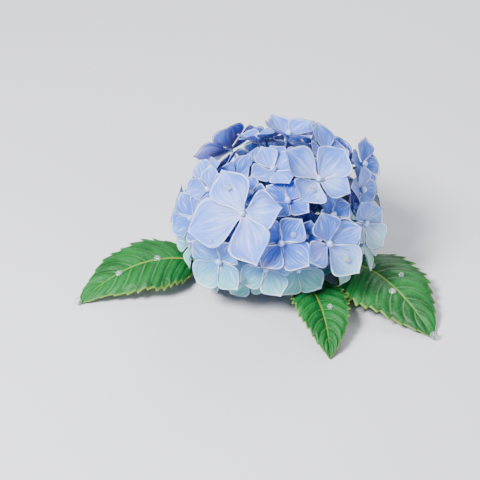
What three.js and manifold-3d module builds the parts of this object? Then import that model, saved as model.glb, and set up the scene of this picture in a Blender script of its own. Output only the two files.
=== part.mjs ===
// A cut mophead hydrangea: one flower head on a short stem with three toothed leaves, set down on a
// surface, with dew on the leaves. Millimetres, +Z up, origin under the middle of the whole piece.
import * as THREE from "three";
import { mergeVertices } from "three/addons/utils/BufferGeometryUtils.js";
import Module from "manifold-3d";

const wasm = await Module();
wasm.setup();
const { Vector3 } = THREE;
const RAD = Math.PI / 180;
const UP = new Vector3(0, 0, 1);

// ---- Driving dimensions ----
const HEAD_RADIUS = 64; // stem line to the widest floret's centre
const CROWN_RISE = 47; // widest level up to the crown floret
const SKIRT_DROP = 30; // widest level down to where the dome would close underneath
const HEAD_LEVEL = 38; // surface to the widest level
const CLEARANCE = 0.4; // least gap between any two pieces that don't join
const RAY_CLEARANCE = 0.02; // between a ray and the florets it passes
const JOINT_GAP = 0.3; // gap at a seat, where one piece grows out of another
const SURFACE_LIFT = 0.4; // least height of a floret or leaf above the surface

const STEM_RADIUS = 4.2; // at the cut end
const STEM_NECK_RADIUS = 3.4;
const HUB_HEIGHT = 24; // where the stem divides into rays
const HUB_RADIUS = 5.2;
const LEAF_NODE_HEIGHT = 9.5; // swollen ring that carries the leaf stalks
const LEAF_NODE_RADIUS = 6;
const MAIN_RAY_LENGTH = 16;
const MAIN_RAY_RADIUS = 2.2;
const RAY_REACH = 31; // hub to the end of every side ray
const RAY_RADIUS = 1.1;
const KNUCKLE_RADIUS = 1.8; // little swelling that ends a ray

const SEPAL_THICKNESS = 1.0;
const SEPAL_WIDTH_SHARE = 0.88; // full width of a sepal over its length
const SEPAL_CUP = 0.22; // rise of a sepal's tip over its length
const SEPAL_TROUGH = 0.15; // rise of its margins over its half width
const SEPAL_VARIATION = 0.09; // of its length
const TILT_VARIATION = 7; // degrees that a floret leans either way
const PAIR_STEP = 0.9; // one pair of sepals sits this much below the other
const PEDICEL_RADIUS = 0.9;
const RECEPTACLE_DEPTH = 2.4; // below the sepals, where it narrows to the pedicel
const EYE_RADIUS = 2.4;
const EYE_HEIGHT = 3.3;

const PETIOLE_RADIUS = 1.9;
const LEAF_THICKNESS = 1.5;
const LEAF_DROOP = 0.34; // fall of the margins over the half width
const LEAF_TEETH = 10; // along one margin
const TOOTH_SHARE = 0.12; // how far a tooth stands out, over the half width
const NOTCH_SHARE = 0.04; // how far the notch between two teeth cuts in
const TOOTH_SWEEP = 0.4; // lean of a tooth towards the tip, over the spacing of the rings
const NOTCH_SWEEP = 0.3; // lean of a notch towards the base
const LEAF_WIDEST_POWER = 0.74; // 1 puts the widest place halfway, less puts it nearer the base
const LEAF_ROUNDING_POWER = 0.85; // less than 1 fills the outline out
const SHOULDER_SHARE = 0.55; // of the half width, from the midrib to the row of points beside it
const SEAT_PASSES = 3; // times that a dew drop is let down on its leaf

// Florets that show from the front, placed one by one. azimuth and elevation are degrees seen from
// the middle of the head, 270 being the front; length is that of a sepal; turn rolls the cross of
// sepals clockwise from upright; proud lifts a floret out of the dome. sepals gives the turn and
// length of each sepal where they differ. faces is the azimuth and elevation that a floret looks
// towards, where that isn't straight out from the hub.
const FRONT_FLORETS = [
  { azimuth: 245, elevation: 31, length: 34, cup: 0.14, proud: 6,
    sepals: [[-42, 31], [66, 28], [142, 35], [-122, 39]] },
  { azimuth: 313, elevation: 50, length: 28, cup: 0.2, proud: 5,
    sepals: [[-24, 28], [74, 29], [150, 22], [-112, 26]] },
  { azimuth: 299, elevation: 13, length: 24, proud: 3,
    sepals: [[-4, 22], [78, 24], [152, 27], [-108, 20]] },
  { azimuth: 333, elevation: 11, length: 19, faces: [318, 16],
    sepals: [[-12, 18], [80, 17], [158, 21], [-106, 17]] },
  { azimuth: 271, elevation: 17, length: 21, turn: 40 },
  { azimuth: 258, elevation: 69, length: 17, turn: -32, cup: 0.3 },
  { azimuth: 72, elevation: 66, length: 21, turn: 5, cup: 0.34, proud: 4 },
  { azimuth: 278, elevation: 43, length: 17, turn: 20 },
  { azimuth: 205, elevation: 13, length: 20, turn: 30 },
  { azimuth: 196, elevation: 31, length: 18, turn: 50 },
  { azimuth: 173, elevation: 26, length: 19, turn: 5, proud: 3, faces: [200, 36] },
  { azimuth: 190, elevation: 50, length: 20, turn: 15 },
  { azimuth: 158, elevation: 63, length: 19, turn: 30, proud: 2 },
  { azimuth: 18, elevation: 50, length: 20, turn: 25, faces: [350, 52] },
  { azimuth: 16, elevation: 25, length: 17, turn: 38, proud: 5, faces: [338, 34] },
  { azimuth: 349, elevation: 25, length: 16, turn: 30, proud: 1, faces: [330, 27] },
  { azimuth: 201, elevation: -6, length: 18, turn: 40 },
  { azimuth: 234, elevation: -1, length: 21, turn: 35 },
  { azimuth: 220, elevation: -14, length: 18, turn: 0 },
  { azimuth: 262, elevation: -1, length: 20, turn: 30 },
  { azimuth: 246, elevation: -16, length: 18, turn: 45 },
  { azimuth: 283, elevation: -9, length: 20, turn: 40 },
  { azimuth: 319, elevation: -6, length: 19, turn: 40 },
  { azimuth: 311, elevation: 27, length: 15, turn: 0 },
];
// Florets that then fill the widest gap left, one after another.
const FLORET_LIMIT = 50;
const FILL_LONGEST = 25; // length of a sepal
const FILL_SHORTEST = 17;
const FILL_LOWEST = -22; // elevation, degrees
const FILL_CHOICES = 200; // directions looked at, spread evenly over the dome
const COVER_SHARE = 0.8; // of a sepal's length that a floret covers all round it
const SIZE_STEPS = [1, 0.88, 0.76];
const LIFT_STEPS = [0, 3, 6, 10]; // degrees up the dome
const DEPTH_STEPS = [0, 2, 4, 6, 8, 10, 13, 16];
const TURN_STEPS = [0, 14, -14, 28, -28, 42];

// Leaves: stalk angle on the stem; blade base, a point that bends the midrib, and tip, from the foot
// of the stem; full width of the blade; fold is the rise of the halves beside the midrib over the
// half width. Dew lies along the midrib and across from it, as shares of the length and half width.
const LEAVES = [
  {
    name: "left", angle: 190, width: 54, fold: 0.22,
    base: [-50, -12, 8], bend: [-90, -12, 22], tip: [-129, -48, 1],
    dew: [{ along: 0.36, across: 0, radius: 2.6 }, { along: 0.68, across: 0.1, radius: 2.2 }],
  },
  {
    name: "front", angle: 285, width: 34, fold: 0.5,
    base: [18, -31, 7], bend: [31, -74, 18], tip: [31, -105, 1],
    dew: [{ along: 0.48, across: 0.3, radius: 1.9 }],
  },
  {
    name: "right", angle: 340, width: 58, fold: 0.22,
    base: [44, -12, 8], bend: [72, -36, 22], tip: [97, -84, 1],
    dew: [
      { along: 0.28, across: 0.1, radius: 2.2 },
      { along: 0.5, across: 0.36, radius: 1.9 },
      { along: 0.6, across: -0.2, radius: 2.4 },
    ],
  },
];

// ---- Solids ----
// A closed three.js geometry as a solid that can be joined and cut.
function solidOf(geometry) {
  const bare = geometry.clone();
  bare.deleteAttribute("normal");
  bare.deleteAttribute("uv");
  const merged = mergeVertices(bare, 1e-4);
  return new wasm.Manifold(
    new wasm.Mesh({
      numProp: 3,
      vertProperties: new Float32Array(merged.getAttribute("position").array),
      triVerts: new Uint32Array(merged.index.array),
    }),
  );
}

function geometryOf(solid) {
  const mesh = solid.getMesh();
  return new THREE.BufferGeometry()
    .setAttribute("position", new THREE.BufferAttribute(new Float32Array(mesh.vertProperties), 3))
    .setIndex(new THREE.BufferAttribute(new Uint32Array(mesh.triVerts), 1));
}

function joined(solids) {
  return solids.reduce((whole, next) => whole.add(next));
}

// A turned solid that stands on `from` with its axis towards `to`. profile holds [radius, height].
function turned(from, to, profile, sides) {
  const shape = new THREE.LatheGeometry(
    profile.map(([radius, height]) => new THREE.Vector2(radius, height)),
    sides,
  );
  const along = new Vector3().subVectors(to, from).normalize();
  shape.applyQuaternion(new THREE.Quaternion().setFromUnitVectors(new Vector3(0, 1, 0), along));
  return solidOf(shape.translate(...from.toArray()));
}

// A round bar from one point to another.
function bar(from, to, startRadius, endRadius, sides) {
  const length = from.distanceTo(to);
  const profile = [[0, 0], [startRadius, 0], [endRadius, length], [0, length]];
  return turned(from, to, profile, sides);
}

function ball(centre, radius) {
  return solidOf(new THREE.IcosahedronGeometry(radius, 0).translate(...centre.toArray()));
}

// A repeatable value from -1 to 1 for growth that isn't quite regular.
function vary(seed) {
  const wave = Math.sin(seed * 12.9898) * 43758.5453;
  return 2 * (wave - Math.floor(wave)) - 1;
}

// A thin closed blade: a sphere pressed flat. Its poles become the blade's base and tip. place gives
// the point for a share of the length (0 to 1), a share of the half width (-1 to 1), and whether it
// is on the upper face (1), the margin (0) or the under face (-1).
function bladeSolid(meridians, rings, place) {
  const shape = new THREE.SphereGeometry(1, meridians, rings);
  const points = shape.getAttribute("position");
  for (let k = 0; k < points.count; k++) {
    const p = new Vector3().fromBufferAttribute(points, k);
    const along = Math.acos(THREE.MathUtils.clamp(p.y, -1, 1)) / Math.PI;
    const girth = Math.hypot(p.x, p.z);
    const across = girth > 1e-6 ? p.x / girth : 0;
    const face = girth > 1e-6 && Math.abs(p.z / girth) > 0.01 ? Math.sign(p.z) : 0;
    points.setXYZ(k, ...place(along, across, face).toArray());
  }
  return solidOf(shape);
}

// The height at x of a line drawn through [x, y] points.
function readCurve(points, x) {
  const next = points.findIndex(([at]) => at >= x);
  if (next <= 0) return points[Math.max(next, 0)][1];
  const [x0, y0] = points[next - 1];
  const [x1, y1] = points[next];
  return THREE.MathUtils.lerp(y0, y1, (x - x0) / (x1 - x0));
}

// ---- Floret ----
const SEPAL_RINGS = 5;
const SEPAL_STATIONS = [[0, 0], [0.2, 0.16], [0.4, 0.4], [0.6, 0.62], [0.8, 0.84], [1, 1]];
const SEPAL_OUTLINE = [[0, 0.1], [0.16, 0.3], [0.4, 0.8], [0.62, 1], [0.84, 0.52], [1, 0]];

function sepalSolid(length, cup) {
  const half = (length * SEPAL_WIDTH_SHARE) / 2;
  return bladeSolid(4, SEPAL_RINGS, (along, across, face) => {
    const u = readCurve(SEPAL_STATIONS, along);
    const side = half * readCurve(SEPAL_OUTLINE, u) * across;
    const middle = length * cup * (1.5 * u * u - 0.5 * u ** 4);
    const body = face < 0 && u < 1 && u > 0 ? SEPAL_THICKNESS : 0;
    return new Vector3(u * length, side, middle + SEPAL_TROUGH * Math.abs(side) - body);
  });
}

// Four sepals, facing +Z, the first turned from +X by its own angle.
function sepalCross(spec, size, seed) {
  const own = spec.sepals ?? [0, 1, 2, 3].map((k) => [
    spec.turn + 90 * k + 6 * vary(seed + 0.83 * k),
    spec.length * (1 + SEPAL_VARIATION * vary(seed + 0.37 * k)),
  ]);
  const cup = spec.cup ?? SEPAL_CUP;
  return joined(
    own.map(([turn, length], k) =>
      sepalSolid(length * size, cup * (1 + 0.25 * vary(seed + 0.61 * k)))
        .rotate([0, 0, -turn])
        .translate([0, 0, k % 2 ? -PAIR_STEP : 0]),
    ),
  );
}

// Pedicel, receptacle and round eye in one, up the Z axis, with the sepals' level at 0.
function coreSolid(pedicelLength) {
  const foot = new Vector3(0, 0, -pedicelLength);
  return turned(foot, new Vector3(), [
    [0, 0],
    [PEDICEL_RADIUS, 0],
    [PEDICEL_RADIUS, pedicelLength - RECEPTACLE_DEPTH],
    [EYE_RADIUS, pedicelLength],
    [EYE_RADIUS * 0.9, pedicelLength + EYE_HEIGHT * 0.6],
    [0, pedicelLength + EYE_HEIGHT],
  ], 6);
}

function direction(azimuth, elevation) {
  const a = azimuth * RAD;
  const e = elevation * RAD;
  return new Vector3(Math.cos(a) * Math.cos(e), Math.sin(a) * Math.cos(e), Math.sin(e));
}

// Where the dome lies in a direction seen from the middle of the head.
function domePoint(azimuth, elevation) {
  const e = elevation * RAD;
  const rise = elevation < 0 ? SKIRT_DROP : CROWN_RISE;
  const reach = 1 / Math.hypot(Math.cos(e) / HEAD_RADIUS, Math.sin(e) / rise);
  return direction(azimuth, elevation).multiplyScalar(reach).add(new Vector3(0, 0, HEAD_LEVEL));
}

const HUB = new Vector3(0, 0, HUB_HEIGHT);
const SEAT_REACH = KNUCKLE_RADIUS + JOINT_GAP; // end of a ray to the foot of its pedicel

// ---- Rays: the forks at the hub, and the thin rays that carry the florets ----
const SIDE_FORKS = 7;
const SIDE_FORK_RISE = 0.35; // slope of the forks that stand round the upright one
const MAIN_WAYS = [
  UP,
  ...Array.from({ length: SIDE_FORKS }, (_, k) => {
    const a = (2 * Math.PI * k) / SIDE_FORKS;
    return new Vector3(Math.cos(a), Math.sin(a), SIDE_FORK_RISE).normalize();
  }),
];
const FORKS = MAIN_WAYS.map((way) => HUB.clone().addScaledVector(way, MAIN_RAY_LENGTH));

function nearestFork(rayEnd) {
  const distances = FORKS.map((fork) => fork.distanceTo(rayEnd));
  return FORKS[distances.indexOf(Math.min(...distances))];
}

function raySolid(from, to) {
  const length = from.distanceTo(to);
  return turned(from, to, [
    [0, 0],
    [RAY_RADIUS, 0],
    [RAY_RADIUS, length - KNUCKLE_RADIUS],
    [KNUCKLE_RADIUS, length],
    [KNUCKLE_RADIUS * 0.7, length + KNUCKLE_RADIUS * 0.7],
    [0, length + KNUCKLE_RADIUS],
  ], 5);
}

// A direction leant a little to one side, by an amount that depends on the seed.
function leaning(way, seed) {
  const side = new Vector3(vary(seed + 0.2), vary(seed + 0.5), vary(seed + 0.7));
  return way.clone().addScaledVector(side, Math.tan(TILT_VARIATION * RAD)).normalize();
}

// The matrix that puts a floret at a centre and faces it away from the hub, rolled from upright.
function facing(centre, out, roll) {
  const side = new Vector3().crossVectors(UP, out).normalize();
  const top = new Vector3().crossVectors(out, side);
  const basis = new THREE.Matrix4().makeBasis(top, side.negate(), out);
  basis.multiply(new THREE.Matrix4().makeRotationZ(-roll * RAD));
  return basis.setPosition(centre).elements;
}

const placed = []; // solids already in place, which later ones keep clear of
const rays = []; // rays already grown, which later florets keep clear of

function keep(solid, list = placed) {
  list.push({ solid, box: solid.boundingBox() });
  return solid;
}

function isClearOf(list, candidate, gap) {
  const box = candidate.boundingBox();
  return list.every(({ solid, box: other }) => {
    const apart = [0, 1, 2].some((k) => box.min[k] > other.max[k] + gap || box.max[k] < other.min[k] - gap);
    return apart || solid.minGap(candidate, gap) >= gap * 0.999;
  });
}

function isClear(candidate) {
  if (candidate.boundingBox().min[2] < SURFACE_LIFT) return false;
  return isClearOf(placed, candidate, CLEARANCE) && isClearOf(rays, candidate, RAY_CLEARANCE);
}

// Grows a floret at its place on the dome, and lifts, sinks, rolls or shrinks it until it is clear.
function growFloret(spec, seed) {
  for (const size of SIZE_STEPS) {
    const cross = sepalCross(spec, size, seed);
    for (const lift of LIFT_STEPS) {
      const away = domePoint(spec.azimuth, spec.elevation + lift).sub(HUB);
      const reach = away.length() + (spec.proud ?? 0);
      away.normalize();
      const out = spec.faces ? direction(...spec.faces) : leaning(away, seed);
      for (const depth of DEPTH_STEPS) {
        const pedicelLength = reach - depth - RAY_REACH - SEAT_REACH;
        if (pedicelLength < 2 * RECEPTACLE_DEPTH) continue;
        const centre = HUB.clone().addScaledVector(away, reach - depth);
        const core = coreSolid(pedicelLength);
        if (!isClear(core.transform(facing(centre, out, 0)))) continue;
        const rayEnd = centre.clone().addScaledVector(out, -pedicelLength - SEAT_REACH);
        const ray = raySolid(nearestFork(rayEnd), rayEnd);
        if (!isClearOf(placed, ray, RAY_CLEARANCE)) continue;
        for (const roll of TURN_STEPS) {
          const matrix = facing(centre, out, roll);
          if (!isClear(cross.transform(matrix))) continue;
          keep(ray, rays);
          const solid = keep(cross.add(core).transform(matrix));
          return { solid, rayEnd, size, level: centre.z };
        }
      }
    }
  }
  return null;
}

// Degrees between two directions seen from the middle of the head.
function angleBetween(a, b) {
  const e = a.elevation * RAD;
  const f = b.elevation * RAD;
  const turn = (a.azimuth - b.azimuth) * RAD;
  const cosine = Math.sin(e) * Math.sin(f) + Math.cos(e) * Math.cos(f) * Math.cos(turn);
  return Math.acos(THREE.MathUtils.clamp(cosine, -1, 1)) / RAD;
}

// Directions spread evenly over the dome, from the lowest to the crown.
function spreadDirections() {
  const lowest = Math.sin(FILL_LOWEST * RAD);
  return Array.from({ length: FILL_CHOICES }, (_, k) => {
    const height = lowest + ((1 - lowest) * (k + 0.5)) / FILL_CHOICES;
    return { azimuth: (k * 137.508) % 360, elevation: Math.asin(height) / RAD };
  });
}

function growFlorets() {
  const grown = [];
  const taken = [];
  const grow = (spec, seed) => {
    const floret = growFloret(spec, seed);
    if (!floret) return;
    taken.push({ ...spec, cover: (COVER_SHARE * spec.length * floret.size) / HEAD_RADIUS / RAD });
    grown.push(floret);
  };
  FRONT_FLORETS.forEach(grow);
  const choices = spreadDirections();
  while (grown.length < FLORET_LIMIT && choices.length) {
    const room = (way) => Math.min(...taken.map((t) => angleBetween(way, t) - t.cover));
    let best = 0;
    choices.forEach((way, k) => {
      if (room(way) > room(choices[best])) best = k;
    });
    const [way] = choices.splice(best, 1);
    const span = (room(way) * RAD * HEAD_RADIUS) / COVER_SHARE;
    const length = THREE.MathUtils.clamp(span, FILL_SHORTEST, FILL_LONGEST);
    grow({ ...way, length, turn: 45 * vary(choices.length) }, choices.length);
  }
  return grown;
}

// ---- Stem: the cut peduncle, its leaf node, and the rays that carry the florets ----
function stemSolid(florets) {
  const node = new Vector3(0, 0, LEAF_NODE_HEIGHT);
  const foot = new Vector3();
  const peduncle = turned(foot, UP, [
    [0, 0],
    [STEM_RADIUS, 0],
    [STEM_RADIUS, LEAF_NODE_HEIGHT - LEAF_NODE_RADIUS / 2],
    [LEAF_NODE_RADIUS, LEAF_NODE_HEIGHT],
    [STEM_RADIUS, LEAF_NODE_HEIGHT + LEAF_NODE_RADIUS / 2],
    [STEM_NECK_RADIUS, HUB_HEIGHT - HUB_RADIUS],
    [HUB_RADIUS, HUB_HEIGHT],
    [0, HUB_HEIGHT + HUB_RADIUS],
  ], 12);
  const parts = [peduncle];
  const used = new Set();
  for (const { rayEnd } of florets) {
    const fork = nearestFork(rayEnd);
    used.add(fork);
    parts.push(raySolid(fork, rayEnd));
  }
  for (const fork of used) {
    parts.push(bar(HUB, fork, MAIN_RAY_RADIUS * 1.15, MAIN_RAY_RADIUS, 7));
    parts.push(ball(fork, MAIN_RAY_RADIUS * 1.2));
  }
  return joined(parts);
}

// ---- Leaves ----
// The point of a leaf's middle surface at shares of its length and half width, and the way up there.
function leafPoint({ base, bend, tip, width, fold }, along, across, out = 1) {
  const midrib = new THREE.QuadraticBezierCurve3(
    new Vector3(...base),
    new Vector3(...bend),
    new Vector3(...tip),
  );
  const u = THREE.MathUtils.clamp(along, 0, 1);
  const ahead = midrib.getTangent(u);
  const left = new Vector3().crossVectors(UP, ahead).normalize();
  const up = new Vector3().crossVectors(ahead, left);
  const half = (width / 2) * Math.sin(Math.PI * u ** LEAF_WIDEST_POWER) ** LEAF_ROUNDING_POWER;
  const side = half * across * out;
  const rise = (fold - LEAF_DROOP * Math.abs(across)) * Math.abs(side);
  const p = midrib.getPoint(u).addScaledVector(left, side).addScaledVector(up, rise);
  p.z = Math.max(p.z, SURFACE_LIFT);
  return { p, up };
}

function leafBlade(leaf) {
  const rings = 2 * LEAF_TEETH;
  return bladeSolid(8, rings, (along, across, face) => {
    if (face === 0 && across !== 0) {
      const isTooth = Math.round(along * rings) % 2 === 1;
      const out = isTooth ? 1 + TOOTH_SHARE : 1 - NOTCH_SHARE;
      const sweep = (isTooth ? TOOTH_SWEEP : -NOTCH_SWEEP) / rings;
      return leafPoint(leaf, along + sweep, Math.sign(across), out).p;
    }
    const shoulder = Math.abs(across) < 0.1 ? 0 : SHOULDER_SHARE * Math.sign(across);
    const { p, up } = leafPoint(leaf, along, shoulder);
    if (face >= 0) return p;
    const under = p.clone().addScaledVector(up, -LEAF_THICKNESS * (shoulder ? 0.6 : 1));
    under.z = Math.max(under.z, SURFACE_LIFT / 2);
    return under;
  });
}

function petiole(leaf) {
  const a = leaf.angle * RAD;
  const out = new Vector3(Math.cos(a), Math.sin(a), 0);
  const level = new Vector3(0, 0, LEAF_NODE_HEIGHT);
  const start = level.addScaledVector(out, LEAF_NODE_RADIUS + JOINT_GAP);
  const base = new Vector3(...leaf.base);
  const ahead = new Vector3(...leaf.bend).sub(base).normalize();
  const path = new THREE.CubicBezierCurve3(
    start,
    start.clone().addScaledVector(out, 2 * LEAF_NODE_RADIUS),
    base.clone().addScaledVector(ahead, -2.5 * LEAF_NODE_RADIUS),
    base.clone().addScaledVector(ahead, 3 * PETIOLE_RADIUS),
  );
  const section = new THREE.Shape();
  const sides = 6;
  for (let k = 0; k < sides; k++) {
    const t = (2 * Math.PI * k) / sides;
    const corner = [PETIOLE_RADIUS * Math.cos(t), PETIOLE_RADIUS * Math.sin(t)];
    if (k === 0) section.moveTo(...corner);
    else section.lineTo(...corner);
  }
  section.closePath();
  return solidOf(new THREE.ExtrudeGeometry(section, { steps: 6, extrudePath: path }));
}

// ---- Dew: a flat-footed drop, let down on its leaf until it is a joint's gap away ----
function seatedDrop(blade, leaf, { along, across, radius }) {
  const up = leafNormal(leaf, along, across);
  const profile = [
    [0, 0],
    [radius * 0.8, 0],
    [radius, radius * 0.4],
    [radius * 0.66, radius * 0.85],
    [0, radius],
  ];
  const foot = leafPoint(leaf, along, across).p.addScaledVector(up, 2 * LEAF_THICKNESS);
  const dropAtFoot = () => turned(foot, foot.clone().add(up), profile, 7);
  for (let pass = 0; pass < SEAT_PASSES; pass++) {
    const spare = blade.minGap(dropAtFoot(), 3 * LEAF_THICKNESS) - JOINT_GAP;
    foot.addScaledVector(up, -spare);
  }
  return dropAtFoot();
}

// The way straight out of a leaf's upper face.
function leafNormal(leaf, along, across) {
  const step = 0.03;
  const ahead = leafPoint(leaf, along + step, across).p.sub(leafPoint(leaf, along - step, across).p);
  const left = leafPoint(leaf, along, across + step).p.sub(leafPoint(leaf, along, across - step).p);
  return ahead.cross(left).normalize();
}

// ---- The whole piece ----
const hydrangea = new THREE.Group();

function addMesh(name, solid, color, roughness) {
  const material = new THREE.MeshStandardMaterial({ color, roughness, metalness: 0 });
  const mesh = new THREE.Mesh(geometryOf(solid), material);
  mesh.name = name;
  hydrangea.add(mesh);
}

const STEM_COLOUR = new THREE.Color(0x8fb06a);
const LEAF_COLOUR = new THREE.Color(0x2f8f4a);
const DEW_COLOUR = new THREE.Color(0xe8f2f4);
const HIGH_FLORET_COLOUR = new THREE.Color(0xa6bdf2);
const LOW_FLORET_COLOUR = new THREE.Color(0x93c4d8);

for (const leaf of LEAVES) {
  const blade = leafBlade(leaf).add(petiole(leaf));
  addMesh(`leaf_${leaf.name}`, keep(blade), LEAF_COLOUR, 0.45);
  leaf.dew.forEach((dew, k) => {
    addMesh(`dew_${leaf.name}_${k + 1}`, keep(seatedDrop(blade, leaf, dew)), DEW_COLOUR, 0.05);
  });
}

const florets = growFlorets();
florets.forEach(({ solid, level }, k) => {
  const share = THREE.MathUtils.smoothstep(level, SKIRT_DROP / 2, HEAD_LEVEL + CROWN_RISE / 2);
  const colour = LOW_FLORET_COLOUR.clone().lerp(HIGH_FLORET_COLOUR, share);
  addMesh(`floret_${String(k + 1).padStart(2, "0")}`, solid, colour, 0.55);
});
addMesh("stem", stemSolid(florets), STEM_COLOUR, 0.6);

const box = new THREE.Box3().setFromObject(hydrangea);
const middle = box.getCenter(new Vector3());
hydrangea.position.set(-middle.x, -middle.y, -box.min.z);
hydrangea.updateMatrixWorld(true);

export default hydrangea;
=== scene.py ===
"""A cut mophead hydrangea resting on its stem end: a dome of blue florets, three toothed leaves, dew."""

import math
import random

import bmesh
import bpy
from mathutils import Matrix, Vector
from mathutils.bvhtree import BVHTree


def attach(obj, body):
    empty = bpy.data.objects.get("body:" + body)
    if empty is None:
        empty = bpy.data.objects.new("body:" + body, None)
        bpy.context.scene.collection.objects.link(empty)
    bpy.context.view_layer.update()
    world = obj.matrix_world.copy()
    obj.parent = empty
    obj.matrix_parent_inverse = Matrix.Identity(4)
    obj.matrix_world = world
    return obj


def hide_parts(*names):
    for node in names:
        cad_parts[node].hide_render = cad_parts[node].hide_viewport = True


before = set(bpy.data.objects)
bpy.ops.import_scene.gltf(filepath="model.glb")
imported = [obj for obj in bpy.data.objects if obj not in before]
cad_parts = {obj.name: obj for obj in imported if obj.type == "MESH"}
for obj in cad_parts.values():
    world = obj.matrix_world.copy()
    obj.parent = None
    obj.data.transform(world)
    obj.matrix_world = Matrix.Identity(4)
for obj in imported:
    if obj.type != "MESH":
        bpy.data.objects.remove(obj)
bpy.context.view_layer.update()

MM = 0.001  # shapes are worked out in millimetres and brought to metres at the end
UP = Vector((0, 0, 1))

# ---- Sizes shared with the solid model, in millimetres ----
HUB_HEIGHT = 24
LEAF_NODE_HEIGHT = 9.5
LEAF_NODE_RADIUS = 6
STEM_RADIUS = 4.2
NECK_RADIUS = 3.4
HUB_RADIUS = 5.2
MAIN_RAY_LENGTH = 16
MAIN_RAY_RADIUS = 2.2
SIDE_FORKS = 7
SIDE_FORK_RISE = 0.35
RAY_RADIUS = 1.0
KNUCKLE_RADIUS = 1.7
SEAT_REACH = 2.1  # centre of a knuckle to the foot of its pedicel
PEDICEL_RADIUS = 0.85
PEDICEL_FOOT_REACH = 2.0  # every corner of a pedicel's foot lies this near the others
PEDICEL_FOOT_INNER = 0.5  # and further than this from the foot's middle
EYE_HEIGHT = 3.3
EYE_TOP_REACH = 0.4  # the corner at the top of an eye lies this near its axis
PAIR_STEP = 0.9  # one pair of sepals is set this far below the other
LEAF_DROOP = 0.34
PETIOLE_RADIUS = 1.9
SURFACE_LIFT = 0.4  # leaves and inner florets keep this far off the surface
SEPALS_APART = math.radians(52)  # two corners nearer than this are on one sepal

# The same midribs as the solid leaves, from the foot of the stem. The angle is the way that a leaf's
# stalk leaves the stem, in degrees.
LEAVES = {
    "left": dict(
        angle=190, width=54, fold=0.22,
        base=(-50, -12, 8), bend=(-90, -12, 22), tip=(-129, -48, 1),
    ),
    "front": dict(
        angle=285, width=34, fold=0.5,
        base=(18, -31, 7), bend=(31, -74, 18), tip=(31, -105, 1),
    ),
    "right": dict(
        angle=340, width=58, fold=0.22,
        base=(44, -12, 8), bend=(72, -36, 22), tip=(97, -84, 1),
    ),
}


# ---- Reading the solid model ----
def solid_points(name):
    """The separate corners of a solid, in millimetres."""
    found = {}
    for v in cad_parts[name].data.vertices:
        p = v.co / MM
        found[tuple(round(c, 2) for c in p)] = p
    return list(found.values())


def middle_of(points):
    total = Vector()
    for p in points:
        total += p
    return total / len(points)


stem_foot = middle_of([p for p in solid_points("stem") if p.z < 0.5])
stem_foot.z = 0
HUB = stem_foot + UP * HUB_HEIGHT


class Floret:
    """Where a solid floret sits: its centre, the way it faces, its pedicel's foot and its sepals."""

    def __init__(self, name):
        points = solid_points(name)
        nearest = min(points, key=lambda p: (p - HUB).length)
        foot_points = [p for p in points if (p - nearest).length < PEDICEL_FOOT_REACH]
        self.foot = middle_of(foot_points)
        spokes = [p - self.foot for p in foot_points]
        spokes = [s for s in spokes if s.length > PEDICEL_FOOT_INNER]
        across = max((spokes[0].cross(s) for s in spokes), key=lambda c: c.length)
        axis = across.normalized()
        if axis.dot(middle_of(points) - self.foot) < 0:
            axis.negate()
        apex = max(
            (p for p in points if (p - self.foot).cross(axis).length < EYE_TOP_REACH),
            key=lambda p: (p - self.foot).dot(axis),
        )
        self.name = name
        self.out = (apex - self.foot).normalized()
        self.centre = apex - self.out * EYE_HEIGHT
        self.place = facing(self.centre, self.out)
        self.sepals = self.find_sepals(points)

    def find_sepals(self, points):
        """Angle, length and height of each sepal's tip, in the order of their angles."""
        back = self.place.inverted()
        seen = []
        for p in points:
            q = back @ p
            seen.append((math.hypot(q.x, q.y), math.atan2(q.y, q.x), q.z))
        tips = []
        for length, angle, height in sorted(seen, reverse=True):
            if len(tips) < 4 and all(turn_between(angle, t[0]) > SEPALS_APART for t in tips):
                tips.append((angle, length, height))
        return sorted(tips)


def facing(centre, out):
    """A place at centre with Z along out and X as near to upright as that allows."""
    side = UP.cross(out).normalized()
    top = out.cross(side)
    return Matrix.Translation(centre) @ Matrix((top, out.cross(top), out)).transposed().to_4x4()


def turn_between(a, b):
    return abs((a - b + math.pi) % (2 * math.pi) - math.pi)


florets = [Floret(name) for name in sorted(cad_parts) if name.startswith("floret_")]


# ---- Shape helpers ----
BLADE_WELD = 0.003  # corners of a blade nearer than this become one
TURNED_WELD = 0.002  # and of a solid of revolution


def curve(points, x):
    """A smooth line through [x, y] points, read at x."""
    if x <= points[0][0]:
        return points[0][1]
    for k in range(len(points) - 1):
        (x0, y0), (x1, y1) = points[k], points[k + 1]
        if x <= x1:
            before = points[max(k - 1, 0)]
            after = points[min(k + 2, len(points) - 1)]
            slope0 = (y1 - before[1]) / (x1 - before[0])
            slope1 = (after[1] - y0) / (after[0] - x0)
            t = (x - x0) / (x1 - x0)
            step = x1 - x0
            return (
                (2 * t**3 - 3 * t**2 + 1) * y0
                + (t**3 - 2 * t**2 + t) * step * slope0
                + (3 * t**2 - 2 * t**3) * y1
                + (t**3 - t**2) * step * slope1
            )
    return points[-1][1]


def bell(x, width):
    """1 where x is 0, fading to nothing on both sides."""
    return math.exp(-((x / width) ** 2))


def smoothstep(low, high, x):
    """0 at low and 1 at high, smooth between, whichever of them is larger."""
    t = min(max((x - low) / (high - low), 0), 1)
    return t * t * (3 - 2 * t)


def faces_of(verts):
    """The faces at some corners, each once, in an order that stays the same from run to run."""
    return list(dict.fromkeys(f for v in verts for f in v.link_faces))


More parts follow.
